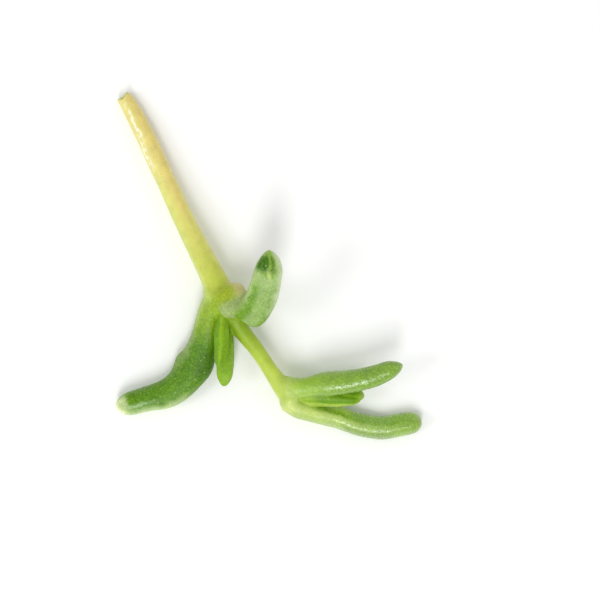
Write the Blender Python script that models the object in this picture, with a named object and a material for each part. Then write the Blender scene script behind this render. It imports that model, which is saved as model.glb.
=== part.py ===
"""A cut sprig of fleshy-leaved samphire, lying on a table.

The stem runs from its cut end over a swollen joint to its tip. A pair of long leaves grows
from the joint with two young leaves in the angle between them, and a second pair closes the
tip round two leaves of the next pair. Each leaf is a rounded triangle in section: a flatter
upper face, two rounded margins and a keel.

Lengths are millimetres here and metres on Blender's objects. X and Y lie along the table,
with the cut end towards +Y, and Z is up.
"""

from dataclasses import dataclass

import bmesh
import bpy
import numpy as np
from mathutils import Vector

MM = 0.001

# What every piece keeps clear of the piece that it grows from.
GAP = 0.3

# How far the corners of a leaf's section stand out, as a share of its half width.
CORNER = 0.1

# Thickness of the block under the table's surface, which levels what would sink in.
TABLE_DEPTH = 4.0
TABLE_SIDE = 100.0

# Sections round each closed end, and how near to the very end the last one stands.
CAP_RINGS = 5
CAP_REACH = 0.995

# How far the cut end of the stem runs past its first section, on its long and ragged sides.
CUT_SLANT = 0.35
CUT_RAGGED = 0.15


@dataclass
class Swell:
    """A fleshy body along a smooth line, base first.

    sections are (share of the length, width, depth), and upper is where the flat face looks
    at the base and at the tip. The ends close over the lengths base_round and tip_round, and
    a base_round of 0 leaves a cut end.
    """

    line: tuple
    sections: tuple
    upper: tuple
    base_round: float = 1.2
    tip_round: float = 2.5
    bluntness: float = 1.8
    corner: float = CORNER
    sides: int = 16
    rings: int = 20


@dataclass
class Leaf(Swell):
    """A leaf, with the swollen sheath that joins it to the stem where that one shows.

    clear_of names the pieces that it grows from or lies against.
    """

    clear_of: tuple = ("stem",)
    sheath: Swell = None
    rests: bool = False
    skin: str = "leaf"


STEM_DIAMETERS = (
    (0.0, 3.1),
    (0.1, 3.7),
    (0.3, 3.9),
    (0.45, 4.3),
    (0.55, 4.8),
    (0.66, 5.4),
    (0.75, 3.5),
    (0.82, 3.05),
    (0.9, 3.1),
    (0.96, 4.0),
    (1.0, 4.4),
)

STEM = Swell(
    line=(
        (-29.3, 34.3, 1.5),
        (-25.9, 28.1, 2.1),
        (-21.2, 18.2, 3.2),
        (-16.6, 8.4, 4.4),
        (-12.8, 1.0, 5.3),
        (-9.1, -6.2, 6.0),
        (-5.5, -12.7, 5.6),
        (-2.3, -16.9, 5.1),
        (0.5, -21.2, 4.9),
        (2.7, -24.2, 4.8),
        (5.1, -27.0, 4.6),
    ),
    sections=tuple((share, size, size) for share, size in STEM_DIAMETERS),
    upper=((0, 0, 1), (0, 0, 1)),
    base_round=0.0,
    tip_round=1.2,
    bluntness=2.0,
    corner=0.0,
    rings=42,
)

LEAVES = {
    "lower_leaf_left": Leaf(
        line=(
            (-9.8, -4.8, 6.0),
            (-11.8, -9.6, 5.2),
            (-12.9, -14.8, 3.8),
            (-15.4, -20.6, 2.8),
            (-19.4, -25.0, 2.6),
            (-25.2, -26.9, 2.4),
            (-30.8, -28.4, 2.3),
        ),
        sections=(
            (0.0, 4.6, 4.6),
            (0.18, 5.0, 5.2),
            (0.4, 5.6, 6.6),
            (0.52, 5.9, 7.1),
            (0.66, 5.5, 6.2),
            (0.85, 4.9, 5.0),
            (1.0, 4.5, 4.7),
        ),
        upper=((0.85, -0.4, 0.3), (0.2, -0.95, 0.3)),
        tip_round=3.4,
        bluntness=2.1,
        rests=True,
    ),
    "lower_leaf_right": Leaf(
        line=(
            (-5.0, -10.2, 8.9),
            (-3.1, -8.8, 10.8),
            (-1.3, -5.9, 12.9),
            (-0.2, -2.5, 14.7),
            (0.3, 0.4, 15.7),
            (0.3, 2.9, 16.0),
        ),
        sections=(
            (0.0, 5.8, 4.8),
            (0.15, 6.2, 5.2),
            (0.4, 6.1, 5.0),
            (0.65, 5.6, 4.7),
            (0.85, 5.1, 4.3),
            (1.0, 4.6, 4.0),
        ),
        upper=((0.2, -0.5, 0.85), (0.0, -0.3, 0.95)),
        clear_of=("stem", "lower_leaf_left"),
        base_round=2.0,
        tip_round=3.6,
        bluntness=1.7,
        sheath=Swell(
            line=((-8.7, -4.0, 7.2), (-7.3, -6.6, 8.2), (-5.3, -9.9, 8.8)),
            sections=((0.0, 5.8, 5.0), (0.5, 6.4, 5.4), (1.0, 6.0, 5.0)),
            upper=((0.2, -0.1, 0.95), (0.2, -0.1, 0.95)),
            base_round=2.2,
            tip_round=2.2,
            bluntness=2.0,
            rings=8,
        ),
    ),
    "axil_leaf_front": Leaf(
        line=(
            (-9.0, -9.4, 7.6),
            (-9.3, -12.7, 8.2),
            (-9.3, -16.3, 8.4),
            (-9.9, -20.3, 8.2),
        ),
        sections=(
            (0.0, 2.0, 1.8),
            (0.3, 2.9, 2.3),
            (0.6, 2.8, 2.2),
            (0.85, 2.3, 1.8),
            (1.0, 1.8, 1.6),
        ),
        upper=((0.1, 0.0, -1.0), (0.1, 0.0, -1.0)),
        clear_of=("stem", "lower_leaf_left", "lower_leaf_right"),
        tip_round=2.0,
        bluntness=1.7,
        sides=12,
        rings=12,
        skin="young_leaf",
    ),
    "axil_leaf_back": Leaf(
        line=(
            (-8.5, -10.0, 5.8),
            (-8.6, -14.2, 5.8),
            (-8.7, -18.8, 5.6),
            (-8.9, -24.0, 5.2),
        ),
        sections=(
            (0.0, 2.0, 1.8),
            (0.3, 3.0, 2.4),
            (0.6, 3.4, 2.4),
            (0.85, 3.0, 2.2),
            (1.0, 2.4, 1.8),
        ),
        upper=((0.0, 0.0, 1.0), (0.0, 0.0, 1.0)),
        clear_of=("stem", "lower_leaf_left", "axil_leaf_front"),
        tip_round=2.6,
        bluntness=1.9,
        sides=12,
        rings=14,
        skin="young_leaf",
    ),
    "tip_leaf_upper": Leaf(
        line=(
            (3.2, -24.4, 4.9),
            (6.8, -24.4, 5.6),
            (11.2, -23.5, 6.4),
            (15.2, -23.1, 7.0),
            (20.5, -22.0, 7.8),
            (24.1, -20.6, 8.3),
            (26.5, -19.6, 8.6),
        ),
        sections=(
            (0.0, 4.7, 4.8),
            (0.2, 4.0, 4.0),
            (0.35, 4.4, 5.0),
            (0.5, 4.3, 4.8),
            (0.73, 4.2, 4.4),
            (0.9, 3.6, 3.8),
            (1.0, 3.2, 3.3),
        ),
        upper=((0.0, -0.8, 0.5), (0.1, -0.85, 0.45)),
        tip_round=3.4,
        bluntness=1.6,
    ),
    "tip_leaf_lower": Leaf(
        line=(
            (3.2, -26.6, 4.7),
            (6.2, -28.5, 4.0),
            (9.9, -29.6, 3.2),
            (13.9, -30.6, 2.5),
            (18.3, -32.1, 2.2),
            (23.0, -32.7, 2.0),
            (27.2, -32.0, 2.0),
            (30.8, -31.3, 2.1),
        ),
        sections=(
            (0.0, 4.6, 4.6),
            (0.2, 4.1, 4.4),
            (0.5, 4.3, 4.5),
            (0.75, 4.4, 4.7),
            (0.9, 4.3, 4.5),
            (1.0, 3.8, 4.0),
        ),
        upper=((0.0, 0.72, 0.69), (0.1, 0.72, 0.69)),
        clear_of=("stem", "tip_leaf_upper"),
        tip_round=2.3,
        bluntness=2.2,
        rests=True,
    ),
    "bud_leaf_front": Leaf(
        line=(
            (5.8, -26.4, 5.0),
            (9.8, -26.6, 5.2),
            (13.8, -26.8, 5.3),
            (18.4, -26.9, 5.5),
        ),
        sections=(
            (0.0, 1.6, 2.2),
            (0.3, 1.9, 2.7),
            (0.6, 2.0, 2.5),
            (0.85, 1.8, 1.8),
            (1.0, 1.5, 1.4),
        ),
        upper=((0.0, 0.9, 0.2), (0.0, 0.9, 0.2)),
        clear_of=("stem", "tip_leaf_upper", "tip_leaf_lower"),
        base_round=0.8,
        tip_round=1.8,
        bluntness=1.6,
        sides=12,
        rings=12,
        skin="young_leaf",
    ),
    "bud_leaf_back": Leaf(
        line=(
            (5.8, -25.7, 4.6),
            (10.2, -25.9, 4.8),
            (14.6, -25.8, 4.9),
            (19.1, -26.0, 5.0),
        ),
        sections=(
            (0.0, 1.6, 1.6),
            (0.3, 2.2, 2.4),
            (0.6, 2.2, 2.5),
            (0.85, 2.0, 2.3),
            (1.0, 1.8, 2.1),
        ),
        upper=((0.0, -0.9, 0.2), (0.0, -0.9, 0.2)),
        clear_of=("stem", "tip_leaf_upper", "tip_leaf_lower", "bud_leaf_front"),
        base_round=0.8,
        tip_round=1.2,
        bluntness=2.2,
        sides=12,
        rings=12,
        skin="young_leaf",
    ),
}

# Colours are linear red, green and blue.
SKINS = {
    "stem": {"colour": (0.58, 0.52, 0.12), "roughness": 0.4},
    "leaf": {"colour": (0.12, 0.26, 0.04), "roughness": 0.4},
    "young_leaf": {"colour": (0.22, 0.42, 0.05), "roughness": 0.4},
}


def clear_scene():
    for obj in list(bpy.data.objects):
        bpy.data.objects.remove(obj, do_unlink=True)


def make_skin(name, colour, roughness):
    material = bpy.data.materials.new(name)
    material.use_nodes = True
    shader = material.node_tree.nodes["Principled BSDF"]
    shader.inputs["Base Color"].default_value = (*colour, 1.0)
    shader.inputs["Roughness"].default_value = roughness
    shader.inputs["Metallic"].default_value = 0.0
    return material


def unit(vectors):
    return vectors / np.linalg.norm(vectors, axis=-1, keepdims=True)


def smooth_line(points, samples=1200):
    """A Catmull-Rom curve through the points, as (its points, lengths along it)."""
    points = np.array(points, float)
    before = 2 * points[0] - points[1]
    after = 2 * points[-1] - points[-2]
    knots = np.vstack([before, points, after])
    spans = len(points) - 1
    place = np.linspace(0, spans, samples)
    span = np.minimum(place.astype(int), spans - 1)
    t = (place - span)[:, None]
    a, b, c, d = (knots[span + step] for step in range(4))
    curve = b + 0.5 * t * (c - a + t * (2 * a - 5 * b + 4 * c - d + t * (3 * b - a - 3 * c + d)))
    steps = np.linalg.norm(np.diff(curve, axis=0), axis=1)
    along = np.concatenate([[0.0], np.cumsum(steps)])
    return curve, along


def smooth_sizes(sections, shares):
    """Sizes read from the sections at these shares of the length, with no corner at any."""
    table = np.array(sections, float)
    stops = table[:, 0]
    left = np.clip(np.searchsorted(stops, shares, side="right") - 1, 0, len(stops) - 2)
    span = stops[left + 1] - stops[left]
    t = (shares - stops[left]) / span
    sizes = []
    for values in table[:, 1:].T:
        slopes = np.gradient(values, stops)
        rise = values[left + 1] - values[left]
        bend = t * (1 - t) * span * (slopes[left] * (1 - t) - slopes[left + 1] * t)
        ease = t * t * (3 - 2 * t)
        sizes.append(values[left] + rise * ease + bend)
    return sizes


def frames(curve, along, shares, upper):
    """Centres and the ahead, across and up directions at these shares of the curve."""
    at = shares * along[-1]
    tangents = np.gradient(curve, axis=0)
    centres = np.stack([np.interp(at, along, curve[:, i]) for i in range(3)], axis=1)
    ahead = unit(np.stack([np.interp(at, along, tangents[:, i]) for i in range(3)], axis=1))
    base_up, tip_up = np.array(upper, float)
    up = base_up + shares[:, None] * (tip_up - base_up)
    up = unit(up - np.sum(up * ahead, axis=1, keepdims=True) * ahead)
    return centres, ahead, np.cross(ahead, up), up


def ring_shares(base_end, tip_start, rings):
    """Where the sections stand: even along the body and closer together round its ends."""
    quarter = np.linspace(0, np.pi / 2, CAP_RINGS + 1)[1:]
    base = base_end * (1 - np.cos(quarter[:-2])) if base_end else []
    body = np.linspace(base_end, tip_start, rings)
    tip = tip_start + (1 - tip_start) * np.sin(quarter) * CAP_REACH
    return np.concatenate([base, body, tip])


def swell_rings(swell, grow=0.0):
    """The body's sections as rings of points, each bigger by grow on every side."""
    curve, along = smooth_line(swell.line)
    base_end = swell.base_round / along[-1]
    tip_start = 1 - swell.tip_round / along[-1]
    shares = ring_shares(base_end, tip_start, swell.rings)
    centres, ahead, across, up = frames(curve, along, shares, swell.upper)
    width, depth = smooth_sizes(swell.sections, shares)
    into_base = np.clip(1 - shares / base_end, 0, 1) if base_end else 0.0
    into_tip = np.clip((shares - tip_start) / (1 - tip_start), 0, 1)
    closing = np.sqrt(1 - into_base**2) * (1 - into_tip**2) ** (1 / swell.bluntness)
    half_width = width / 2 * closing + grow
    half_depth = depth / 2 * closing + grow
    turn = np.linspace(0, 2 * np.pi, swell.sides, endpoint=False)
    reach = 1 + swell.corner * np.sin(3 * turn)
    sideways = across[:, None] * (half_width[:, None] * np.cos(turn) * reach)[..., None]
    upwards = up[:, None] * (half_depth[:, None] * np.sin(turn) * reach)[..., None]
    rings = centres[:, None] + sideways + upwards
    rings[0] -= ahead[0] * grow
    rings[-1] += ahead[-1] * grow
    return rings


def stem_rings(grow=0.0):
    """The stem's sections, the first one slanted and a little ragged where it was cut."""
    rings = swell_rings(STEM, grow)
    turn = np.linspace(0, 2 * np.pi, STEM.sides, endpoint=False)
    cut = CUT_SLANT * np.cos(turn) + CUT_RAGGED * np.sin(3 * turn)
    ahead = unit(rings[1].mean(axis=0) - rings[0].mean(axis=0))
    rings[0] -= cut[:, None] * ahead
    return rings


def lofted(name, rings):
    """A closed object through the rings, with its origin at the middle of the first one."""
    origin = rings[0].mean(axis=0)
    bm = bmesh.new()
    loops = [[bm.verts.new(Vector((p - origin) * MM)) for p in ring] for ring in rings]
    count = len(loops[0])
    for near, far in zip(loops, loops[1:]):
        for i in range(count):
            j = (i + 1) % count
            bm.faces.new((near[i], far[i], far[j], near[j]))
    bm.faces.new(loops[0])
    bm.faces.new(reversed(loops[-1]))
    mesh = bpy.data.meshes.new(name)
    bm.to_mesh(mesh)
    bm.free()
    mesh.shade_smooth()
    obj = bpy.data.objects.new(name, mesh)
    obj.location = Vector(origin * MM)
    bpy.context.scene.collection.objects.link(obj)
    return obj


def as_cutter(obj):
    obj.hide_render = True
    obj.display_type = "WIRE"
    return obj


def make_table():
    """A block with its top at the table's surface."""
    mesh = bpy.data.meshes.new("table_cutter")
    bm = bmesh.new()
    bmesh.ops.create_cube(bm, size=1.0)
    bmesh.ops.scale(bm, vec=Vector((TABLE_SIDE, TABLE_SIDE, TABLE_DEPTH)) * MM, verts=bm.verts)
    bm.to_mesh(mesh)
    bm.free()
    obj = bpy.data.objects.new("table_cutter", mesh)
    obj.location = Vector((0, 0, -TABLE_DEPTH / 2 * MM))
    bpy.context.scene.collection.objects.link(obj)
    return as_cutter(obj)


def combine(obj, other, operation, solver="EXACT"):
    modifier = obj.modifiers.new(operation.lower() + "_" + other.name, "BOOLEAN")
    modifier.operation = operation
    modifier.solver = solver
    modifier.object = other


def solver_for(leaf):
    """A sheath crosses its blade at so low an angle that EXACT leaves open edges there."""
    return "MANIFOLD" if leaf.sheath else "EXACT"


def leaf_solid(name, leaf, grow=0.0):
    obj = lofted(name, swell_rings(leaf, grow))
    if leaf.sheath:
        sheath = as_cutter(lofted(name + "_sheath", swell_rings(leaf.sheath, grow)))
        combine(obj, sheath, "UNION", solver_for(leaf))
    return obj


def make_sprig():
    skins = {name: make_skin(name, **finish) for name, finish in SKINS.items()}
    table = make_table()
    stem = lofted("stem", stem_rings())
    stem.data.materials.append(skins["stem"])
    combine(stem, table, "DIFFERENCE")
    clearances = {"stem": as_cutter(lofted("stem_clearance", stem_rings(GAP)))}
    for name, leaf in LEAVES.items():
        obj = leaf_solid(name, leaf)
        obj.data.materials.append(skins[leaf.skin])
        obj.parent = stem
        obj.location -= stem.location
        for other in leaf.clear_of:
            combine(obj, clearances[other], "DIFFERENCE", solver_for(leaf))
        if leaf.rests:
            combine(obj, table, "DIFFERENCE")
        clearances[name] = as_cutter(leaf_solid(name + "_clearance", leaf, GAP))


clear_scene()
make_sprig()
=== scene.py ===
"""Looks of a cut samphire sprig: the fine surface of its stem and leaves, their skin,
and the pale table, light and camera that show it from above.

Lengths are millimetres up to the point where a mesh is made, and metres from there on.
"""

import bpy
import numpy as np
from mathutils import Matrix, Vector


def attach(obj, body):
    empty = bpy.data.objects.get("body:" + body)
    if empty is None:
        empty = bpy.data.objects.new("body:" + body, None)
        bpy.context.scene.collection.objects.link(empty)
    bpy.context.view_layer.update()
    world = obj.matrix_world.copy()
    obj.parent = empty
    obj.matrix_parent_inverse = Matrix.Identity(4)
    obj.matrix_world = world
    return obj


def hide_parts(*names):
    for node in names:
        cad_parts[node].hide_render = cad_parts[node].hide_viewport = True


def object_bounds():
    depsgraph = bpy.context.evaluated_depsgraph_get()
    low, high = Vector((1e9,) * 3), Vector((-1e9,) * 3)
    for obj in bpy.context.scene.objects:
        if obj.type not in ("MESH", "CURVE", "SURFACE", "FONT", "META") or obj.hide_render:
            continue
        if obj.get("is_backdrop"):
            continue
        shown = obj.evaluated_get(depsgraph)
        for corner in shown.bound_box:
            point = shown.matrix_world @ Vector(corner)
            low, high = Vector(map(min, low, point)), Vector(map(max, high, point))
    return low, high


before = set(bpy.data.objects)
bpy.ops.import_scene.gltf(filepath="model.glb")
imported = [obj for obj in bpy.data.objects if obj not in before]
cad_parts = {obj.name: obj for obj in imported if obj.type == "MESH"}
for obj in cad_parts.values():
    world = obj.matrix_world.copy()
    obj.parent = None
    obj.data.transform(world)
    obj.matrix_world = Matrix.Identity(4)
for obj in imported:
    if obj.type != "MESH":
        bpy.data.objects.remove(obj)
CAD_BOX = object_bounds()

MM = 0.001

# Distance between neighbouring points of the fine surface, on long and on small pieces.
STEP = 0.17
SMALL_STEP = 0.11

# How far a piece runs on past the line where its neighbour takes over, and how fast it
# sinks under the neighbour there.
OVERLAP = 0.8
SINK = 0.25

# A field value for points too far from a body to matter.
FAR = 6.0


def unit(vectors):
    """The vectors at length 1."""
    return vectors / np.maximum(np.linalg.norm(vectors, axis=-1, keepdims=True), 1e-12)


def ease(low, high, values):
    """0 at low and 1 at high, level beyond them, and a smooth rise between."""
    t = np.clip((values - low) / (high - low), 0, 1)
    return t * t * (3 - 2 * t)


def signed_angle(degrees):
    """The same angles, given from -180 to 180."""
    return (degrees + 180) % 360 - 180


def smooth_line(points, samples=1200):
    """A Catmull-Rom curve through the points, as (its points, lengths along it)."""
    points = np.array(points, float)
    knots = np.vstack([2 * points[0] - points[1], points, 2 * points[-1] - points[-2]])
    spans = len(points) - 1
    place = np.linspace(0, spans, samples)
    span = np.minimum(place.astype(int), spans - 1)
    t = (place - span)[:, None]
    a, b, c, d = (knots[span + step] for step in range(4))
    curve = b + 0.5 * t * (c - a + t * (2 * a - 5 * b + 4 * c - d + t * (3 * b - a - 3 * c + d)))
    steps = np.linalg.norm(np.diff(curve, axis=0), axis=1)
    return curve, np.concatenate([[0.0], np.cumsum(steps)])


def smooth_sizes(sections, shares):
    """Sizes read from the sections at these shares of the length, with no corner at any."""
    table = np.array(sections, float)
    stops = table[:, 0]
    shares = np.clip(shares, stops[0], stops[-1])
    left = np.clip(np.searchsorted(stops, shares, side="right") - 1, 0, len(stops) - 2)
    span = stops[left + 1] - stops[left]
    t = (shares - stops[left]) / span
    sizes = []
    for values in table[:, 1:].T:
        slopes = np.gradient(values, stops)
        rise = values[left + 1] - values[left]
        bend = t * (1 - t) * span * (slopes[left] * (1 - t) - slopes[left + 1] * t)
        sizes.append(values[left] + rise * t * t * (3 - 2 * t) + bend)
    return sizes


class Waves:
    """Smooth lumps and hollows: a few long sine waves in fixed directions."""

    # How many waves there are, how much shorter and longer they come, and what their mean
    # is raised by.
    COUNT = 7
    SPREAD = (0.7, 1.4)
    HEIGHT = 2

    def __init__(self, seed, wavelength):
        draw = np.random.default_rng(seed)
        self.ways = unit(draw.normal(size=(self.COUNT, 3))) * (2 * np.pi / wavelength)
        self.ways *= draw.uniform(*self.SPREAD, size=(self.COUNT, 1))
        self.starts = draw.uniform(0, 2 * np.pi, size=self.COUNT)

    def __call__(self, points):
        return self.HEIGHT * np.sin(points @ self.ways.T + self.starts).mean(axis=1)


class Swell:
    """A fleshy body along a smooth line, as a field: below 0 inside, about mm outside.

    sections are (share of the length, width, depth), and upper is where the flat face looks
    at the base and at the tip. The ends close over the lengths base_round and tip_round, and
    a base_round of 0 leaves a cut end. A higher bluntness makes a squarer tip, and corner is
    how far the margins stand out. knuckles are small humps and hollows of the margins:
    (share of the length, degrees round from the flat face, height). corner and the heights
    are shares of the half width.
    """

    # Distance between the points kept along the line, and how far it runs on past its ends.
    SPACING = 0.3
    RUN_ON = 3.0

    # How far a knuckle reaches, as a share of the length and in degrees.
    KNUCKLE_REACH = 0.06
    KNUCKLE_TURN = 35

    # The box round the body: more than its half width, with some room besides.
    WIDER = 1.2
    ROOM = 1.5

    # Points placed at one time, and how often their place along the line is improved.
    BATCH = 60000
    PASSES = 2

    def __init__(self, line, sections, upper, base_round=1.2, tip_round=2.5, bluntness=1.8,
                 corner=0.11, knuckles=()):
        curve, along = smooth_line(line)
        self.length = along[-1]
        self.sections = sections
        self.base_round = base_round
        self.tip_round = tip_round
        self.bluntness = bluntness
        self.corner = corner
        self.knuckles = knuckles
        at = np.arange(0, self.length + self.SPACING, self.SPACING).clip(max=self.length)
        tangents = unit(np.gradient(curve, axis=0))
        centres = self.read(at, along, curve)
        ahead = unit(self.read(at, along, tangents))
        before = np.arange(-self.RUN_ON, 0, self.SPACING)
        after = np.arange(self.SPACING, self.RUN_ON, self.SPACING)
        run_in = centres[0] + before[:, None] * ahead[0]
        run_out = centres[-1] + after[:, None] * ahead[-1]
        self.at = np.concatenate([before, at, self.length + after])
        self.centres = np.vstack([run_in, centres, run_out])
        self.ahead = np.vstack(
            [np.repeat(ahead[:1], len(before), 0), ahead, np.repeat(ahead[-1:], len(after), 0)]
        )
        shares = np.clip(self.at / self.length, 0, 1)[:, None]
        base_up, tip_up = np.array(upper, float)
        up = base_up + shares * (tip_up - base_up)
        self.up = unit(up - np.sum(up * self.ahead, axis=1, keepdims=True) * self.ahead)
        self.across = np.cross(self.ahead, self.up)
        reach = max(max(row[1:]) for row in sections) / 2 * self.WIDER
        self.low = centres.min(axis=0) - reach - self.ROOM
        self.high = centres.max(axis=0) + reach + self.ROOM

    @staticmethod
    def read(at, along, rows):
        """The rows given at the lengths along, read at the lengths at."""
        return np.stack([np.interp(at, along, rows[:, i]) for i in range(3)], axis=1)

    def place(self, points):
        """Length along the line and the two distances across it, for each point."""
        nearest = np.empty(len(points), int)
        square = np.sum(self.centres**2, axis=1).astype(np.float32)
        centres = self.centres.astype(np.float32)
        for start in range(0, len(points), self.BATCH):
            part = points[start : start + self.BATCH].astype(np.float32)
            nearest[start : start + self.BATCH] = np.argmin(square - 2 * part @ centres.T, axis=1)
        offset = points - self.centres[nearest]
        at = self.at[nearest] + np.sum(offset * self.ahead[nearest], axis=1)
        for _ in range(self.PASSES):
            centre = self.read(at, self.at, self.centres)
            ahead = self.read(at, self.at, self.ahead)
            offset = points - centre
            at = at + np.sum(offset * ahead, axis=1) / np.sum(ahead * ahead, axis=1)
        across = self.read(at, self.at, self.across)
        up = self.read(at, self.at, self.up)
        return at, np.sum(offset * across, axis=1), np.sum(offset * up, axis=1)

    def __call__(self, points):
        return where_near(self, self.field, points)

    def field(self, points):
        at, sideways, upwards = self.place(points)
        width, depth = smooth_sizes(self.sections, at / self.length)
        x = sideways / (width / 2)
        y = upwards / (depth / 2)
        radius = np.hypot(x, y) / self.outline(at / self.length, np.arctan2(y, x))
        into_tip = np.maximum((at - self.length + self.tip_round) / self.tip_round, 0)
        if self.base_round:
            into_base = np.maximum((self.base_round - at) / self.base_round, 0)
        else:
            into_base = np.maximum(-at, 0)
        whole = (radius**self.bluntness + into_tip**2) ** (1 / self.bluntness)
        whole = np.where(into_base > 0, np.sqrt(radius**2 + into_base**2), whole)
        mean_radius = (width + depth) / 4
        return (whole - 1) * mean_radius

    def outline(self, share, turn):
        """How far out the section reaches on each side, as a share of an ellipse's reach."""
        shape = 1 + self.corner * np.sin(3 * turn)
        degrees = 90 - np.degrees(turn)
        for place, side, height in self.knuckles:
            along = (share - place) / self.KNUCKLE_REACH
            around = signed_angle(degrees - side) / self.KNUCKLE_TURN
            shape += height * np.exp(-(along**2) - around**2)
        return shape


def where_near(swell, field, points):
    """The field at the points in the swell's box, and FAR at the others."""
    values = np.full(len(points), FAR)
    near = np.all((points > swell.low) & (points < swell.high), axis=1)
    if near.any():
        values[near] = field(points[near])
    return values


def joined(a, b, blend):
    """The smooth union of two fields, rounded over about blend mm where they meet."""
    return np.minimum(a, b) - np.maximum(blend - np.abs(a - b), 0) ** 2 / (4 * blend)


def linear(red, green, blue):
    """A colour given in display steps from 0 to 255, as linear light."""
    steps = np.array([red, green, blue]) / 255
    return np.where(steps <= 0.04045, steps / 12.92, ((steps + 0.055) / 1.055) ** 2.4)


# Tones of the leaves, the stem and the cut.
# A dark green for painted shade where a leaf faces its neighbours.
SHADE_GREEN = linear(66, 112, 0)
GREEN = linear(84, 132, 0)
LEAF_GREEN = linear(104, 150, 4)
BRIGHT = linear(122, 170, 6)
LIME = linear(145, 182, 34)
PALE_LIME = linear(182, 205, 92)
SPROUT = linear(204, 218, 128)
# Pale waxy bloom of the skin, in two strengths; it lies mostly on sides that face the lights and
# along edges, so it is partly painted sheen.
BLOOM_AND_SHEEN = linear(137, 172, 80)
PALE_BLOOM_AND_SHEEN = linear(162, 188, 116)
OLIVE = linear(166, 182, 48)
BLUSH = linear(204, 192, 134)
STRAW = linear(227, 217, 132)
PITH = linear(208, 210, 130)
RING = linear(160, 186, 78)
# Near-white of the painted highlight streaks on the stem.
PAINTED_HIGHLIGHT = linear(248, 246, 222)


class Patch:
    """A soft-edged patch of another tone on a body.

    along is its reach in shares of the length. around is its reach in degrees, from the
    middle of the flat face, or from the top of the stem. fade is how softly both ends run
    out, in shares of the length. A broken patch has gaps in it.
    """

    # How softly the two sides run out, as a share of half the width and in degrees.
    SIDE_SHARE = 0.3
    SIDE_DEGREES = 4

    def __init__(self, tone, along, around=(-180, 180), strength=1.0, fade=0.05, broken=False):
        self.tone = tone
        self.along = along
        self.around = around
        self.strength = strength
        self.fade = fade
        self.broken = broken

    def paint(self, colours, share, degrees, gaps):
        """The colours with this patch over them. gaps is 0 where a broken patch is left out."""
        first, last = self.along
        fade = self.fade
        cover = ease(first - fade, first + fade, share) * ease(last + fade, last - fade, share)
        left, right = self.around
        half = (right - left) / 2
        if half < 180:
            aside = np.abs(signed_angle(degrees - (right + left) / 2))
            soft = half * self.SIDE_SHARE + self.SIDE_DEGREES
            cover = cover * ease(half + soft, half - soft, aside)
        if self.broken:
            cover = cover * gaps
        return colours + (self.strength * cover)[:, None] * (self.tone - colours)


class Paint:
    """The tones of a body: ground tones (share of the length, tone) with patches over them.

    shine is (share of the length, 0 for dull to 1 for glossy).
    """

    # Waves that bend the edges of the patches: how far along, as a share of the length, how
    # far round, in degrees, and how far apart the two are read so that they differ.
    WANDER = Waves(21, 2.5)
    WANDER_ALONG = 0.012
    WANDER_AROUND = 5
    WANDER_APART = 7

    # Waves that break up a patch, and between which heights of them it begins to cover.
    BREAKS = Waves(22, 0.8)
    BREAK_HEIGHTS = (-0.7, 0.3)

    def __init__(self, ground, patches=(), shine=((0, 0.3), (1, 0.3))):
        self.ground = ground
        self.patches = patches
        self.shine = shine

    def __call__(self, points, share, degrees):
        """The tone and the shine at each point, as four columns."""
        stops = [row[0] for row in self.ground]
        colours = Swell.read(share, stops, np.array([row[1] for row in self.ground]))
        shine = np.interp(share, *np.array(self.shine).T)
        share = share + self.WANDER_ALONG * self.WANDER(points)
        degrees = degrees + self.WANDER_AROUND * self.WANDER(points + self.WANDER_APART)
        gaps = ease(*self.BREAK_HEIGHTS, self.BREAKS(points))
        for patch in self.patches:
            colours = patch.paint(colours, share, degrees, gaps)
        return np.column_stack([colours, shine])


def painted(swell, paint, points):
    """The tone and the shine that the paint gives the swell at each point."""
    at, sideways, upwards = swell.place(points)
    degrees = np.degrees(np.arctan2(sideways, upwards))
    return paint(points, np.clip(at / swell.length, 0, 1), degrees)


class Leaf:
    """A fleshy leaf: its swell, its paint and how softly it runs into the stem.

    A sheath is the swollen base that wraps the stem, with a paint of its own.
    """

    # How softly the leaf runs into its sheath, and how far their tones mix there.
    SHEATH_BLEND = 2.0
    SHEATH_EDGE = 0.5

    def __init__(self, swell, paint, blend=1.6, sheath=None, sheath_paint=None):
        self.swell = swell
        self.paint = paint
        self.blend = blend
        self.sheath = sheath
        self.sheath_paint = sheath_paint

    def swells(self):
        """The bodies that the leaf is made of."""
        return [self.swell, self.sheath] if self.sheath else [self.swell]

    def __call__(self, points):
        values = self.swell(points)
        if self.sheath:
            values = joined(values, self.sheath(points), self.SHEATH_BLEND)
        return values

    def colours(self, points):
        colours = painted(self.swell, self.paint, points)
        if not self.sheath:
            return colours
        past_leaf = self.swell.field(points) - self.sheath.field(points)
        on_sheath = ease(-self.SHEATH_EDGE, self.SHEATH_EDGE, past_leaf)
        other = painted(self.sheath, self.sheath_paint, points)
        return colours + on_sheath[:, None] * (other - colours)


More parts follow.
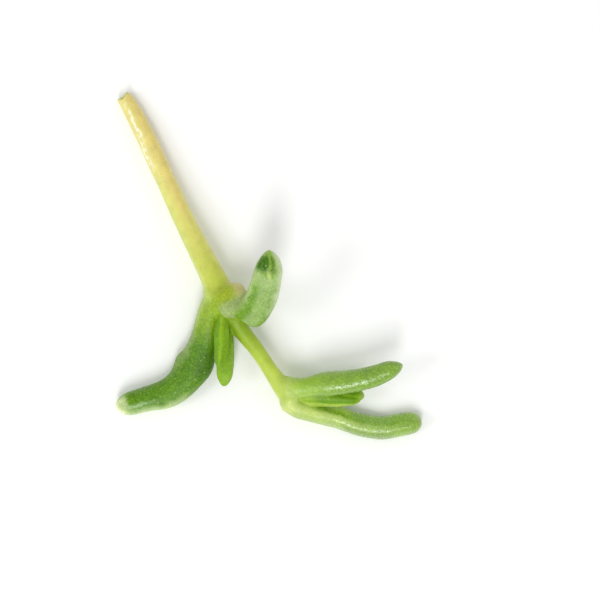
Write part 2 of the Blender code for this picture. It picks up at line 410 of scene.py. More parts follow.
class Stem:
    """The round stem and its bent side branch, cut across at the old end."""

    # Places across the cut, and how far it stands out there.
    CUT_EDGE = [(-1.7, -1.1), (-0.95, 0.42), (-0.2, 0.2), (0.5, -0.12), (1.0, 0.1), (1.7, 0.2)]
    CUT_SLOPE = 0.4

    # Small torn lumps of the cut face, and how high they are.
    TORN = Waves(5, 0.7)
    TORN_HEIGHT = 0.07

    # Low ribs that turn slowly round the stem and run out between two shares of its length.
    RIB_COUNT = 9
    RIB_HEIGHT = 0.012
    RIB_TURN = 0.12
    RIBS_END = (0.62, 0.5)

    # Distances from the middle of the cut face over which the pith turns into rind and a
    # greener ring begins and ends, and how clear the ring is.
    RIND = (0.9, 1.3)
    RING_BEGINS = (0.45, 0.8)
    RING_ENDS = (1.2, 0.95)
    RING_STRENGTH = 0.7

    # Depths under the cut over which its tones give way to the stem's.
    CUT_TONES = (-0.12, -0.02)

    def __init__(self, line, diameters, paint):
        sections = [(share, across, across) for share, across in diameters]
        upright = (0, 0, 1)
        self.swell = Swell(line, sections, (upright, upright), base_round=0, tip_round=1.2,
                           bluntness=2, corner=0)
        self.paint = paint

    def __call__(self, points):
        return where_near(self.swell, self.field, points)

    def field(self, points):
        at, sideways, upwards = self.swell.place(points)
        turn = np.arctan2(upwards, sideways)
        ribs = self.RIB_HEIGHT * np.sin(self.RIB_COUNT * turn + self.RIB_TURN * at)
        ribbed = self.swell.field(points) - ribs * ease(*self.RIBS_END, at / self.swell.length)
        return np.maximum(ribbed, self.beyond_cut(points, at, sideways, upwards))

    def beyond_cut(self, points, at, sideways, upwards):
        across, out = np.array(self.CUT_EDGE).T
        edge = np.interp(sideways, across, out) - self.CUT_SLOPE * upwards
        return -at - edge + self.TORN_HEIGHT * self.TORN(points)

    def colours(self, points):
        at, sideways, upwards = self.swell.place(points)
        tones = painted(self.swell, self.paint, points)
        on_cut = ease(*self.CUT_TONES, self.beyond_cut(points, at, sideways, upwards))[:, None]
        radius = np.hypot(sideways, upwards)[:, None]
        in_ring = ease(*self.RING_BEGINS, radius) * ease(*self.RING_ENDS, radius)
        core = PITH + ease(*self.RIND, radius) * (STRAW - PITH)
        dull = np.zeros_like(radius)
        cut = np.hstack([core + self.RING_STRENGTH * in_ring * (RING - core), dull])
        return tones + on_cut * (cut - tones)


class Plant:
    """The stem and all its leaves as one smooth skin, which is cut into named pieces."""

    # Low lumps and fine ripples of the skin, and their heights.
    LUMPS = Waves(11, 5.0)
    LUMP_HEIGHT = 0.05
    RIPPLES = Waves(12, 1.5)
    RIPPLE_HEIGHT = 0.012

    # Distances from the stem over which a leaf's soft run into it narrows to a crease, and
    # how softly a crease is rounded.
    BY_STEM = (0.3, 1.6)
    CREASE = 0.25

    # Over what distance the tones of neighbours mix, and the share that is too faint to add.
    TONE_REACH = 0.45
    FAINT = 0.004

    def __init__(self, stem, leaves):
        self.stem = stem
        self.leaves = leaves

    def fields(self, points):
        """The field of each body by itself, by its name."""
        named = {"stem": self.stem(points)}
        for name, leaf in self.leaves.items():
            named[name] = leaf(points)
        return named

    def skin(self, named, points):
        """The field of the whole plant, level with the table where it would sink in."""
        whole = named["stem"]
        at_stem = 1 - ease(*self.BY_STEM, named["stem"])
        for name, leaf in self.leaves.items():
            blend = self.CREASE + at_stem * (leaf.blend - self.CREASE)
            whole = joined(whole, named[name], blend)
        whole = whole + self.LUMP_HEIGHT * self.LUMPS(points)
        whole = whole + self.RIPPLE_HEIGHT * self.RIPPLES(points)
        return np.maximum(whole, -points[:, 2])

    def piece(self, name):
        """The field of one piece: the common skin, as far as this body is the nearest one."""

        def value(points):
            named = self.fields(points)
            others = np.min([field for body, field in named.items() if body != name], axis=0)
            beyond = np.maximum(named[name] - others, 0)
            return np.maximum(self.skin(named, points) + SINK * beyond**2, beyond - OVERLAP)

        return value

    def colours(self, points):
        """The tones and the shine of the skin, mixed softly where two bodies meet."""
        values = np.array(list(self.fields(points).values()))
        shares = np.exp(-(values - values.min(axis=0)) / self.TONE_REACH)
        shares /= shares.sum(axis=0)
        shares *= shares > self.FAINT
        tones = np.zeros((len(points), 4))
        for share, body in zip(shares, [self.stem, *self.leaves.values()]):
            seen = share > 0
            tones[seen] += share[seen, None] * body.colours(points[seen])
        return tones / shares.sum(axis=0)[:, None]


# Steps between the rough samples of a field, and how many steps round the surface are
# sampled finely.
ROUGH_STEPS = 4
FINE_STEPS = 9

# The corners of a cell of the grid.
CORNERS = [(i, j, k) for i in (0, 1) for j in (0, 1) for k in (0, 1)]


def grid(low, counts, step):
    """The places of the grid's points, counted from its low corner."""
    axes = [low[i] + step * np.arange(counts[i]) for i in range(3)]
    return np.stack(np.meshgrid(*axes, indexing="ij"), axis=-1)


def sampled(value, low, counts, step):
    """The field on a grid: everywhere roughly, and exactly near the surface."""
    blocks = (counts - 1) // ROUGH_STEPS + 2
    rough = value(grid(low, blocks, step * ROUGH_STEPS).reshape(-1, 3)).reshape(blocks)
    nearest = [
        np.minimum((np.arange(count) + ROUGH_STEPS // 2) // ROUGH_STEPS, block - 1)
        for count, block in zip(counts, blocks)
    ]
    values = rough[np.ix_(*nearest)]
    close = np.abs(values) < FINE_STEPS * step
    values[close] = value(low + step * np.argwhere(close))
    return values


def surface_of(value, low, high, step):
    """The closed surface where the field is 0, as its points and four-sided faces."""
    counts = np.ceil((high - low) / step).astype(int) + 1
    values = sampled(value, low, counts, step)
    inside = values < 0
    cells = counts - 1
    filled = sum(
        inside[i : i + cells[0], j : j + cells[1], k : k + cells[2]].astype(int)
        for i, j, k in CORNERS
    )
    crossed = (filled > 0) & (filled < len(CORNERS))
    number = np.full(cells, -1)
    number[crossed] = np.arange(crossed.sum())
    points = low + step * crossing_middles(values, np.argwhere(crossed))
    return settled(value, points, step), faces_between(inside, number)


def crossing_middles(values, cells):
    """For each cell, the middle of the places where the surface crosses its edges."""
    total = np.zeros((len(cells), 3))
    crossings = np.zeros(len(cells))
    for start in CORNERS:
        for axis in range(3):
            if start[axis]:
                continue
            end = tuple(place + (i == axis) for i, place in enumerate(start))
            a = values[tuple((cells + start).T)]
            b = values[tuple((cells + end).T)]
            crossed = (a < 0) != (b < 0)
            t = np.where(crossed, a / np.where(crossed, a - b, 1), 0)
            spot = cells + np.array(start) + t[:, None] * (np.array(end) - start)
            total += np.where(crossed[:, None], spot, 0)
            crossings += crossed
    return total / crossings[:, None]


def faces_between(inside, number):
    """A face across each edge of the grid that runs into or out of the body."""
    faces = []
    for axis in range(3):
        one = (axis + 1) % 3
        two = (axis + 2) % 3
        here = tuple(slice(0, -1) if i == axis else slice(1, -1) for i in range(3))
        after = tuple(slice(1, None) if i == axis else slice(1, -1) for i in range(3))
        lift = np.array([0 if i == axis else 1 for i in range(3)])
        leaving = lift + np.argwhere(inside[here] & ~inside[after])
        entering = lift + np.argwhere(~inside[here] & inside[after])
        for edges, forward in ((leaving, True), (entering, False)):
            ring = []
            for back_one, back_two in ((1, 1), (0, 1), (0, 0), (1, 0)):
                cell = edges.copy()
                cell[:, one] -= back_one
                cell[:, two] -= back_two
                ring.append(number[tuple(cell.T)])
            ring = np.stack(ring, axis=1)
            faces.append(ring if forward else ring[:, ::-1])
    return np.concatenate(faces)


def settled(value, points, step):
    """The points moved onto the surface along the slope of the field, in two short moves."""
    # The reach over which a slope is read, the least steepness and the longest move.
    reach = 0.02
    flattest = 0.05
    longest = 0.4 * step
    for _ in range(2):
        here = value(points)
        slopes = [(value(points + reach * way) - here) / reach for way in np.eye(3)]
        slopes = np.stack(slopes, axis=1)
        steepness = np.maximum(np.sum(slopes**2, axis=1, keepdims=True), flattest)
        move = -here[:, None] * slopes / steepness
        size = np.linalg.norm(move, axis=1, keepdims=True)
        points = points + move * np.minimum(1, longest / np.maximum(size, 1e-9))
    points[:, 2] = np.maximum(points[:, 2], 0)
    return points


def add_piece(name, plant, swells, step, material):
    """Makes the fine piece of one body and lets it take the place of the plain one."""
    low = np.min([swell.low for swell in swells], axis=0)
    high = np.max([swell.high for swell in swells], axis=0)
    points, faces = surface_of(plant.piece(name), low, high, step)
    mesh = bpy.data.meshes.new(name + "_skin")
    mesh.from_pydata((points * MM).tolist(), [], faces.tolist())
    mesh.polygons.foreach_set("use_smooth", np.ones(len(faces), bool))
    tone = mesh.attributes.new("tone", "FLOAT_COLOR", "POINT")
    tone.data.foreach_set("color", plant.colours(points).ravel())
    mesh.materials.append(material)
    piece = bpy.data.objects.new(name + "_skin", mesh)
    bpy.context.scene.collection.objects.link(piece)
    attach(piece, "root")
    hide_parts(name)


STEM = Stem(
    [
        (-29.3, 34.3, 1.5),
        (-25.9, 28.1, 2.1),
        (-21.2, 18.2, 3.2),
        (-16.6, 8.4, 4.4),
        (-12.8, 1.0, 5.3),
        (-9.1, -6.2, 6.0),
        (-5.5, -12.7, 5.6),
        (-2.3, -16.9, 5.1),
        (0.5, -21.2, 4.9),
        (2.7, -24.2, 4.8),
        (5.1, -27.0, 4.6),
    ],
    [
        (0, 3.1),
        (0.1, 3.7),
        (0.3, 3.9),
        (0.45, 4.3),
        (0.55, 4.8),
        (0.66, 5.4),
        (0.75, 3.5),
        (0.82, 3.05),
        (0.9, 3.1),
        (0.96, 4.0),
        (1, 4.4),
    ],
    Paint(
        [
            (0, STRAW),
            (0.22, STRAW),
            (0.36, linear(217, 215, 114)),
            (0.47, linear(208, 210, 102)),
            (0.57, linear(192, 201, 80)),
            (0.63, linear(172, 191, 56)),
            (0.68, linear(136, 170, 22)),
            (0.74, linear(134, 168, 20)),
            (0.8, linear(160, 188, 44)),
            (0.88, linear(182, 203, 72)),
            (1, PALE_LIME),
        ],
        [
            Patch(linear(230, 210, 120), (-1, 0.42), (-130, -2), 0.8, fade=0.1),
            # Painted light: paler on the left side of the stem, which faces the lights.
            Patch(SPROUT, (0.24, 0.64), (45, 110), 0.7),
            Patch(linear(224, 222, 122), (0.3, 0.6), (-120, -45), 0.7, fade=0.1),
            # Painted light: paler on the left side of the branch, which faces the lights.
            Patch(SPROUT, (0.82, 1.2), (50, 110), 0.5),
            Patch(BLUSH, (0.76, 0.9), (-120, -75), 0.5),
            # Painted highlight: broken near-white streaks along the left of the stem's top.
            Patch(PAINTED_HIGHLIGHT, (0.04, 0.14), (12, 36), 0.9, fade=0.03, broken=True),
            Patch(PAINTED_HIGHLIGHT, (0.14, 0.22), (28, 54), 0.8, fade=0.03, broken=True),
        ],
        shine=[(0, 0.8), (0.06, 1), (0.24, 1), (0.34, 0.4), (0.5, 0.25), (1, 0.2)],
    ),
)

LEAVES = {
    "lower_leaf_left": Leaf(
        Swell(
            [
                (-9.8, -4.8, 6.0),
                (-11.8, -9.6, 5.2),
                (-12.9, -14.8, 3.8),
                (-15.4, -20.6, 2.8),
                (-19.4, -25.0, 2.6),
                (-25.2, -26.9, 2.4),
                (-30.8, -28.4, 2.3),
            ],
            [
                (0, 4.6, 4.6),
                (0.18, 5.0, 5.2),
                (0.4, 5.6, 6.6),
                (0.52, 5.9, 7.1),
                (0.66, 5.5, 6.2),
                (0.85, 4.9, 5.0),
                (1, 4.5, 4.7),
            ],
            ((0.85, -0.4, 0.3), (0.2, -0.95, 0.3)),
            tip_round=3.4,
            bluntness=2.1,
            corner=0.0,
            knuckles=[(0.47, 158, 0.14), (0.6, 158, -0.04), (0.45, -20, 0.1), (0.57, -20, -0.05)],
        ),
        Paint(
            [
                (0, PALE_LIME),
                (0.12, linear(140, 172, 40)),
                (0.22, linear(118, 156, 20)),
                (0.33, linear(80, 130, 0)),
                (0.45, linear(80, 128, 0)),
                (0.62, linear(88, 136, 8)),
                (0.85, GREEN),
                (1, LEAF_GREEN),
            ],
            [
                # Painted light over the skin's pale bloom: paler on the left flank near the base,
                # which faces the side light.
                Patch(linear(178, 201, 112), (0.0, 0.2), (108, 200), 0.9, fade=0.14),
                Patch(linear(150, 174, 104), (0.24, 0.48), (112, 200), 0.75, fade=0.18),
                # Painted sheen: paler on the lower side near the tip, round the key light's
                # highlight.
                Patch(linear(132, 172, 92), (0.82, 0.97), (20, 62), 0.7),
                # Painted shade: darker where the leaf faces the axil leaves.
                Patch(SHADE_GREEN, (0.36, 0.5), (-20, 60), 0.9),
                Patch(linear(140, 174, 24), (-1, 0.17), (-30, 80), 0.9),
                # Painted sheen over the skin's pale bloom: a pale band along the lower side, which
                # faces the key light.
                Patch(linear(178, 202, 136), (0.62, 1.2), (-80, 28), 0.95, fade=0.08),
                Patch(linear(236, 242, 190), (0.955, 2), (-40, 130)),
            ],
            shine=[(0, 0.3), (0.6, 0.1), (0.74, 0.2), (0.82, 1), (1, 1)],
        ),
    ),
    "lower_leaf_right": Leaf(
        Swell(
            [
                (-5.0, -10.2, 8.9),
                (-3.1, -8.8, 10.8),
                (-1.3, -5.9, 12.9),
                (-0.2, -2.5, 14.7),
                (0.3, 0.4, 15.7),
                (0.3, 2.9, 16.0),
            ],
            [
                (0, 5.8, 4.8),
                (0.15, 6.2, 5.2),
                (0.4, 6.1, 5.0),
                (0.65, 5.6, 4.7),
                (0.85, 5.1, 4.3),
                (1, 4.6, 4.0),
            ],
            ((0.2, -0.5, 0.85), (0, -0.3, 0.95)),
            base_round=2.0,
            tip_round=4.2,
            bluntness=1.55,
        ),
        Paint(
            [
                (0, linear(136, 172, 34)),
                (0.2, LEAF_GREEN),
                (0.6, LEAF_GREEN),
                (1, linear(146, 180, 80)),
            ],
            [
                # Painted light over the skin's pale bloom: paler along the left margin, on the
                # right rim with a painted highlight, and in the middle of the face, which faces the
                # key light.
                Patch(PALE_BLOOM_AND_SHEEN, (0.3, 2), (-170, -40), 0.95),
                Patch(linear(200, 217, 170), (0.3, 2), (44, 170), 0.95, fade=0.2),
                Patch(linear(140, 172, 92), (0.04, 0.7), (-30, 40)),
                # Painted shade: a darker band on the inner side of the left margin.
                Patch(linear(98, 146, 10), (-1, 0.6), (-58, -32), 0.8),
                # Painted highlight: a pale crescent at the base of the left margin, which faces the
                # key light.
                Patch(linear(150, 174, 102), (-1, 0.4), (-170, -62), 0.95),
                Patch(linear(60, 108, 0), (0.765, 0.94), (-68, 26)),
                Patch(linear(156, 184, 112), (0.6, 0.7), (-36, 50), 0.8),
                Patch(linear(136, 174, 62), (0.74, 1.0), (-9, 9), 0.85),
                Patch(SPROUT, (0.71, 0.75), (-4, 18), 0.8),
            ],
            shine=[(0, 0.1), (0.7, 0.15), (0.85, 0.5), (1, 0.4)],
        ),
        sheath=Swell(
            [
                (-8.7, -4.0, 7.2),
                (-7.3, -6.6, 8.2),
                (-5.3, -9.9, 8.8),
            ],
            [
                (0, 5.8, 5.0),
                (0.5, 6.4, 5.4),
                (1, 6.0, 5.0),
            ],
            ((0.2, -0.1, 0.95), (0.2, -0.1, 0.95)),
            base_round=2.2,
            tip_round=2.2,
            bluntness=2,
        ),
        sheath_paint=Paint(
            [
                (0, OLIVE),
                (0.5, linear(152, 175, 26)),
                (1, linear(138, 168, 18)),
            ],
            [
                Patch(BLUSH, (-1, 0.62), (-150, -24), 0.85),
                Patch(linear(140, 172, 11), (0.2, 0.7), (50, 110), 0.7),
                # Painted highlight: a pale facet low on the sheath, running on into the crescent at
                # the base of the blade.
                Patch(linear(152, 174, 104), (0.52, 2), (-110, 92), 0.95, fade=0.1),
            ],
            shine=[(0, 0.2), (1, 0.1)],
        ),
        blend=1.0,
    ),
    "axil_leaf_front": Leaf(
        Swell(
            [
                (-9.0, -9.4, 7.6),
                (-9.3, -12.7, 8.2),
                (-9.3, -16.3, 8.4),
                (-9.9, -20.3, 8.2),
            ],
            [
                (0, 2.0, 1.8),
                (0.3, 2.9, 2.3),
                (0.6, 2.8, 2.2),
                (0.85, 2.3, 1.8),
                (1, 1.8, 1.6),
            ],
            ((0.1, 0, -1), (0.1, 0, -1)),
            tip_round=2.0,
            bluntness=1.7,
        ),
        Paint(
            [
                (0, LIME),
                (0.4, linear(124, 168, 14)),
                (1, linear(110, 156, 10)),
            ],
            [
                Patch(linear(104, 152, 11), (0.1, 0.95), (-168, -80), 0.9),
                Patch(LIME, (0.1, 0.9), (168, 192), 0.5),
            ],
        ),
        blend=0.5,
    ),
    "axil_leaf_back": Leaf(
        Swell(
            [
                (-8.5, -10.0, 5.8),
                (-8.6, -14.2, 5.8),
                (-8.7, -18.8, 5.6),
                (-8.9, -24.0, 5.2),
            ],
            [
                (0, 2.0, 1.8),
                (0.3, 3.0, 2.4),
                (0.6, 3.4, 2.4),
                (0.85, 3.0, 2.2),
                (1, 2.4, 1.8),
            ],
            ((0, 0, 1), (0, 0, 1)),
            tip_round=2.6,
            bluntness=1.9,
        ),
        Paint(
            [
                (0, LEAF_GREEN),
                (0.6, linear(116, 160, 11)),
                (0.85, linear(126, 170, 22)),
                (1, linear(136, 176, 44)),
            ],
            [
                Patch(BLOOM_AND_SHEEN, (0.4, 1.2), (-130, -55), 0.7),
            ],
        ),
        blend=0.5,
    ),
    "tip_leaf_upper": Leaf(
        Swell(
            [
                (3.2, -24.4, 4.9),
                (6.8, -24.4, 5.6),
                (11.2, -23.5, 6.4),
                (15.2, -23.1, 7.0),
                (20.5, -22.0, 7.8),
                (24.1, -20.6, 8.3),
                (26.5, -19.6, 8.6),
            ],
            [
                (0, 4.7, 4.8),
                (0.2, 4.0, 4.0),
                (0.35, 4.4, 5.0),
                (0.5, 4.3, 4.8),
                (0.73, 4.2, 4.4),
                (0.9, 3.6, 3.8),
                (1, 3.2, 3.3),
            ],
            ((0, -0.8, 0.5), (0.1, -0.85, 0.45)),
            tip_round=3.4,
            bluntness=1.6,
            corner=0.0,
        ),
        Paint(
            [
                (0, PALE_LIME),
                (0.12, linear(152, 190, 39)),
                (0.24, linear(136, 177, 19)),
                (0.42, linear(124, 165, 24)),
                (0.7, linear(112, 156, 10)),
                (0.93, linear(118, 160, 26)),
                (1, BLOOM_AND_SHEEN),
            ],
            [
                Patch(linear(172, 201, 100), (-1, 0.25), (-20, 100), 0.9),
                # Painted sheen over the skin's pale bloom: paler on the underside, which faces the
                # key light, and along the upper edge.
                Patch(BLOOM_AND_SHEEN, (0.22, 0.96), (-12, 90), 0.9),
                Patch(PALE_BLOOM_AND_SHEEN, (0.35, 0.7), (-175, -138), 0.8),
                Patch(PALE_LIME, (0.2, 0.7), (26, 60), 0.6),
            ],
            shine=[(0, 0.2), (0.25, 0.3), (0.4, 0.95), (1, 1)],
        ),
    ),
    "tip_leaf_lower": Leaf(
        Swell(
            [
                (3.2, -26.6, 4.7),
                (6.2, -28.5, 4.0),
                (9.9, -29.6, 3.2),
                (13.9, -30.6, 2.5),
                (18.3, -32.1, 2.2),
                (23.0, -32.7, 2.0),
                (27.2, -32.0, 2.0),
                (30.8, -31.3, 2.1),
            ],
            [
                (0, 4.6, 4.6),
                (0.2, 4.1, 4.4),
                (0.5, 4.3, 4.5),
                (0.75, 4.4, 4.7),
                (0.9, 4.3, 4.5),
                (1, 3.8, 4.0),
            ],
            ((0, 0.72, 0.69), (0.1, 0.72, 0.69)),
            tip_round=2.3,
            bluntness=2.2,
            corner=0.1,
        ),
        Paint(
            [
                (0, linear(196, 214, 112)),
                (0.22, linear(194, 213, 106)),
                (0.42, linear(178, 204, 102)),
                (0.62, linear(152, 186, 86)),
                (0.82, linear(142, 179, 64)),
                (0.93, linear(130, 170, 39)),
                (1, linear(142, 178, 59)),
            ],
            [
                Patch(linear(156, 186, 84), (0.1, 0.5), (60, 190), 0.8),
                Patch(linear(118, 154, 54), (0.45, 0.8), (60, 190), 0.8),
                # Painted sheen over the skin's pale bloom: paler along the upper edge.
                Patch(BLOOM_AND_SHEEN, (0.3, 0.95), (-110, -34), 0.9),
                Patch(BRIGHT, (0.2, 0.94), (-28, 28), 0.95),
                # Painted light: brighter at the base of the upper face, where the buds and the
                # upper tip leaf shade it.
                Patch(linear(168, 208, 26), (0.05, 0.46), (-80, 6), 0.9),
            ],
            shine=[(0, 0.2), (0.2, 0.3), (0.35, 0.9), (1, 0.9)],
        ),
        blend=2.6,
    ),
    "bud_leaf_front": Leaf(
        Swell(
            [
                (5.8, -26.4, 5.0),
                (9.8, -26.6, 5.2),
                (13.8, -26.8, 5.3),
                (18.4, -26.9, 5.5),
            ],
            [
                (0, 1.6, 2.2),
                (0.3, 1.9, 2.7),
                (0.6, 2.0, 2.5),
                (0.85, 1.8, 1.8),
                (1, 1.5, 1.4),
            ],
            ((0, 0.9, 0.2), (0, 0.9, 0.2)),
            base_round=0.8,
            tip_round=1.8,
            bluntness=1.6,
        ),
        Paint(
            [
                (0, LIME),
                (0.4, linear(92, 140, 0)),
                (0.9, linear(96, 144, 0)),
                (1, LIME),
            ],
            [
                # Painted highlight: a pale line along the lower edge.
                Patch(PALE_LIME, (0.1, 1.2), (128, 180), 0.7),
            ],
        ),
        blend=0.5,
    ),
    "bud_leaf_back": Leaf(
        Swell(
            [
                (5.8, -25.7, 4.6),
                (10.2, -25.9, 4.8),
                (14.6, -25.8, 4.9),
                (19.1, -26.0, 5.0),
            ],
            [
                (0, 1.6, 1.6),
                (0.3, 2.2, 2.4),
                (0.6, 2.2, 2.5),
                (0.85, 2.0, 2.3),
                (1, 1.8, 2.1),
            ],
            ((0, -0.9, 0.2), (0, -0.9, 0.2)),
            base_round=0.8,
            tip_round=1.2,
            bluntness=2.2,
        ),
        Paint(
            [
                (0, LIME),
                (0.5, linear(110, 158, 10)),
                (0.9, linear(118, 166, 18)),
                (1, linear(160, 196, 90)),
            ],
            [
                # Painted light: paler along the upper rim, where the upper tip leaf shades it.
                Patch(linear(204, 226, 140), (0.2, 0.9), (150, 236), 0.9),
            ],
        ),
        blend=0.5,
    ),
}

# Leaves with a skin of their own kind. The other leaves share one.
YOUNG = {"axil_leaf_front", "axil_leaf_back", "bud_leaf_front", "bud_leaf_back"}
TIP_PAIR = {"tip_leaf_upper", "tip_leaf_lower"}


class Shading:
    """A material's nodes, with short ways to add textures and sums."""

    def __init__(self, name):
        self.material = bpy.data.materials.new(name)
        self.material.use_nodes = True
        self.nodes = self.material.node_tree.nodes
        self.links = self.material.node_tree.links
        self.shader = self.nodes["Principled BSDF"]
        self.place = self.nodes.new("ShaderNodeTexCoord").outputs["Object"]

    def painted(self):
        """The tone and the shine that the mesh carries."""
        node = self.nodes.new("ShaderNodeAttribute")
        node.attribute_name = "tone"
        return node.outputs["Color"], node.outputs["Alpha"]

    def noise(self, size, detail):
        """Noise from 0 to 1 whose lumps are about size mm across."""
        node = self.nodes.new("ShaderNodeTexNoise")
        node.inputs["Scale"].default_value = 1 / (size * MM)
        node.inputs["Detail"].default_value = detail
        self.links.new(self.place, node.inputs["Vector"])
        return node.outputs["Fac"]

    def cells(self, size):
        """Cells about size mm across: (distance from the middle, a colour for each)."""
        node = self.nodes.new("ShaderNodeTexVoronoi")
        node.inputs["Scale"].default_value = 1 / (size * MM)
        self.links.new(self.place, node.inputs["Vector"])
        return node.outputs["Distance"], node.outputs["Color"]

    def ranged(self, source, read, given):
        """The source's values from read[0] to read[1], spread from given[0] to given[1]."""
        node = self.nodes.new("ShaderNodeMapRange")
        for socket, value in zip(node.inputs[1:5], (*read, *given)):
            socket.default_value = value
        self.links.new(source, node.inputs["Value"])
        return node.outputs["Result"]

    def math(self, operation, a, b):
        """A source worked out with another source, or with a number."""
        node = self.nodes.new("ShaderNodeMath")
        node.operation = operation
        self.links.new(a, node.inputs[0])
        if isinstance(b, float):
            node.inputs[1].default_value = b
        else:
            self.links.new(b, node.inputs[1])
        return node.outputs["Value"]

    def mixed(self, factor, a, b):
        """The source a where the factor is 0, and b, a source or a colour, where it is 1."""
        node = self.nodes.new("ShaderNodeMix")
        node.data_type = "RGBA"
        self.links.new(factor, node.inputs["Factor"])
        self.links.new(a, node.inputs["A"])
        if isinstance(b, tuple):
            node.inputs["B"].default_value = b
        else:
            self.links.new(b, node.inputs["B"])
        return node.outputs["Result"]

    def shifted(self, colour, hue, strength):
        """The colour with its hue turned by a set amount and its strength by a source."""
        node = self.nodes.new("ShaderNodeHueSaturation")
        node.inputs["Hue"].default_value = hue
        self.links.new(strength, node.inputs["Value"])
        self.links.new(colour, node.inputs["Color"])
        return node.outputs["Color"]


# Sizes in mm of the skin's soft mottling, of its fine grain, of the cells of which some
# hold a pale dot, and of the beads.
MOTTLE_SIZE = 2.2
GRAIN_SIZE = 0.42
DOT_SPACING = 0.7
BEAD_SIZE = 0.36

# The span of each noise that counts, and how far the mottling changes the strength.
MOTTLE_SPAN = (0.3, 0.7)
MOTTLE_STRENGTH = (0.92, 1.08)
GRAIN_SPAN = (0.35, 0.65)
ROUGH_SPAN = (0.3, 0.7)
YELLOW_SPAN = (0.48, 0.66)
DOT_CHANCE = (0.4, 0.55)

# From dark to pale tones, the grain fades to a share of itself and the dots go.
GRAIN_TONES = (0.14, 0.5)
GRAIN_SHARE = (1.0, 0.3)
DOT_TONES = (0.14, 0.28)

# The soft edge of a dot and the slope of a bead, as shares of a cell.
DOT_EDGE = (0.1, 0.18)
BEAD_SLOPE = (0.0, 0.7)

# Hues of a node that keeps the colour's own and of one that turns it a little to yellow,
# and how much of the second shows at most.
OWN_HUE = 0.5
YELLOWER_HUE = 0.485
YELLOWER_SHARE = 0.8

DOT_COLOUR = (0.62, 0.7, 0.36, 1)

# Roughness of the dullest and of the shiniest skin, and how far the grain changes it.
ROUGHNESS = (0.52, 0.24)
ROUGHNESS_CHANGE = 0.06

# Light in the flesh: its share, how far each colour of it goes, and the length of that in mm.
FLESH_LIGHT = 0.15
FLESH_REACH = (0.5, 0.8, 0.15)
FLESH_DEPTH = 0.6

# From all to nothing.
FALLING = (1.0, 0.0)


def mottled(skin, tone, fine, grain):
    """The tone with soft mottling, and with a fine grain that is partly yellower."""
    patches = skin.ranged(skin.noise(MOTTLE_SIZE, 3), MOTTLE_SPAN, MOTTLE_STRENGTH)
    depth = skin.ranged(tone, GRAIN_TONES, GRAIN_SHARE)
    grains = skin.math("MULTIPLY", skin.ranged(fine, GRAIN_SPAN, (-grain, grain)), depth)
    strength = skin.math("ADD", patches, grains)
    plain = skin.shifted(tone, OWN_HUE, strength)
    yellower = skin.shifted(tone, YELLOWER_HUE, skin.math("ADD", strength, grain))
    lit = skin.math("MULTIPLY", skin.ranged(fine, YELLOW_SPAN, (0.0, YELLOWER_SHARE)), depth)
    return skin.mixed(lit, plain, yellower)


def dotted(skin, colour, tone, dots):
    """The colour with pale dots in some of the cells, where the tone is dark."""
    distance, each = skin.cells(DOT_SPACING)
    near = skin.ranged(distance, DOT_EDGE, FALLING)
    dark = skin.ranged(tone, DOT_TONES, FALLING)
    chosen = skin.math("MULTIPLY", skin.ranged(each, DOT_CHANCE, (0.0, dots)), dark)
    return skin.mixed(skin.math("MULTIPLY", near, chosen), colour, DOT_COLOUR)


def roughened(skin, shine, fine):
    """The roughness: less where the skin shines, and uneven with the grain."""
    even = skin.ranged(shine, (0, 1), ROUGHNESS)
    uneven = skin.ranged(fine, ROUGH_SPAN, (-ROUGHNESS_CHANGE, ROUGHNESS_CHANGE))
    return skin.math("ADD", even, uneven)


def beaded(skin, fine, beads):
    """The normal of a skin with round beads that are beads mm high."""
    distance, _ = skin.cells(BEAD_SIZE)
    bump = skin.nodes.new("ShaderNodeBump")
    bump.inputs["Strength"].default_value = 1.0
    bump.inputs["Distance"].default_value = beads * MM
    height = skin.math("ADD", skin.ranged(distance, BEAD_SLOPE, FALLING), fine)
    skin.links.new(height, bump.inputs["Height"])
    return bump.outputs["Normal"]


def skin_material(name, grain, dots, beads, gloss):
    """Fleshy skin: the tone of each place, mottled, pricked with pale dots, finely beaded.

    grain is how much the small cells differ, dots how clear the pale dots are, beads the
    height in mm of the beads that break up the shine, and gloss the strength of the shine.
    """
    skin = Shading(name)
    shader = skin.shader
    tone, shine = skin.painted()
    fine = skin.noise(GRAIN_SIZE, 2)
    colour = dotted(skin, mottled(skin, tone, fine, grain), tone, dots)
    skin.links.new(colour, shader.inputs["Base Color"])
    skin.links.new(roughened(skin, shine, fine), shader.inputs["Roughness"])
    skin.links.new(beaded(skin, fine, beads), shader.inputs["Normal"])
    shader.inputs["Subsurface Weight"].default_value = FLESH_LIGHT
    shader.inputs["Subsurface Radius"].default_value = FLESH_REACH
    shader.inputs["Subsurface Scale"].default_value = FLESH_DEPTH * MM
    shader.inputs["Specular IOR Level"].default_value = gloss
    return skin.material


def add_plant():
    plant = Plant(STEM, LEAVES)
    stem_skin = skin_material("stem_skin", grain=0.05, dots=0.0, beads=0.006, gloss=0.4)
    leaf_skin = skin_material("leaf_skin", grain=0.19, dots=0.9, beads=0.02, gloss=0.36)
    tip_skin = skin_material("tip_leaf_skin", grain=0.16, dots=0.5, beads=0.034, gloss=0.95)
    young_skin = skin_material("young_leaf_skin", grain=0.12, dots=0.4, beads=0.014, gloss=0.25)
    add_piece("stem", plant, [STEM.swell], STEP, stem_skin)
    for name, leaf in LEAVES.items():
        if name in YOUNG:
            add_piece(name, plant, leaf.swells(), SMALL_STEP, young_skin)
        elif name in TIP_PAIR:
            add_piece(name, plant, leaf.swells(), STEP, tip_skin)
        else:
            add_piece(name, plant, leaf.swells(), STEP, leaf_skin)


# The stage, in metres: half the table's side, its tone and roughness.
TABLE_HALF = 2.0
TABLE_TONE = (0.98, 0.98, 0.98, 1)
TABLE_ROUGHNESS = 0.9

# Strength of the light that the room sends in from all round.
ROOM_LIGHT = 0.69

CAMERA_PLACE = (6.24 * MM, -6.79 * MM, 338.33 * MM)


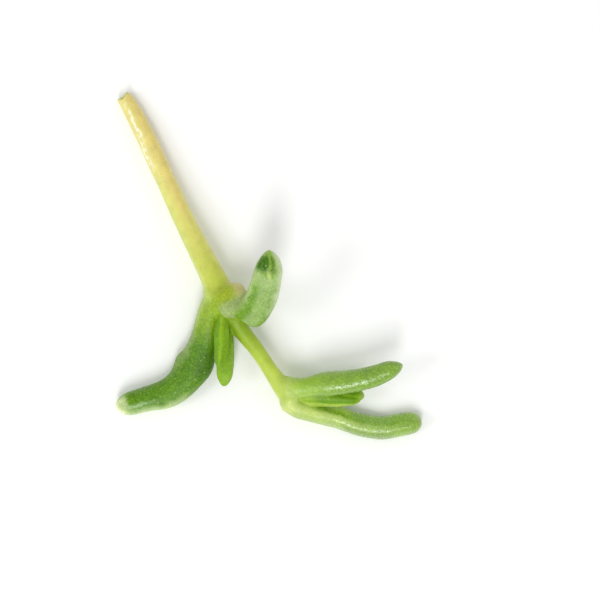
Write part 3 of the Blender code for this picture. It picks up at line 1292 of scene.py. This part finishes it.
def table_material():
    material = bpy.data.materials.new("table_top")
    material.use_nodes = True
    shader = material.node_tree.nodes["Principled BSDF"]
    shader.inputs["Base Color"].default_value = TABLE_TONE
    shader.inputs["Roughness"].default_value = TABLE_ROUGHNESS
    return material


def add_floor():
    """A wide pale table under the sprig."""
    corners = [(x * TABLE_HALF, y * TABLE_HALF, 0) for x, y in ((-1, -1), (1, -1), (1, 1), (-1, 1))]
    mesh = bpy.data.meshes.new("table")
    mesh.from_pydata(corners, [], [(0, 1, 2, 3)])
    mesh.materials.append(table_material())
    table = bpy.data.objects.new("table", mesh)
    bpy.context.scene.collection.objects.link(table)
    table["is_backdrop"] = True


def add_light(name, place, width, height, power):
    """A soft light box at a place in metres, which looks at the sprig."""
    light = bpy.data.lights.new(name, "AREA")
    light.shape = "RECTANGLE"
    light.size = width
    light.size_y = height
    light.energy = power
    lamp = bpy.data.objects.new(name, light)
    lamp.location = place
    lamp.rotation_euler = (-Vector(place)).to_track_quat("-Z", "Y").to_euler()
    bpy.context.scene.collection.objects.link(lamp)
    lamp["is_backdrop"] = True


def add_lights():
    """A tall key light, a square one beside it, and an even light from all round."""
    add_light("key", place=(-0.05, -0.5, 0.74), width=0.22, height=0.46, power=3.0)
    add_light("side", place=(-0.62, -0.15, 0.62), width=0.24, height=0.24, power=1.1)
    world = bpy.data.worlds.new("soft_room")
    world.use_nodes = True
    background = world.node_tree.nodes["Background"]
    background.inputs["Color"].default_value = (1, 1, 1, 1)
    background.inputs["Strength"].default_value = ROOM_LIGHT
    bpy.context.scene.world = world


def add_camera():
    """A long lens straight above the table."""
    data = bpy.data.cameras.new("above")
    data.lens = 100
    data.sensor_width = 36
    data.clip_start = 0.01
    camera = bpy.data.objects.new("above", data)
    camera.location = CAMERA_PLACE
    bpy.context.scene.collection.objects.link(camera)
    bpy.context.scene.camera = camera


def main():
    add_plant()
    add_floor()
    add_lights()
    add_camera()
    bpy.context.scene.view_settings.view_transform = "Standard"


main()

plain = [[[float(x) for x in corner] for corner in box] for box in (CAD_BOX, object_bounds())]
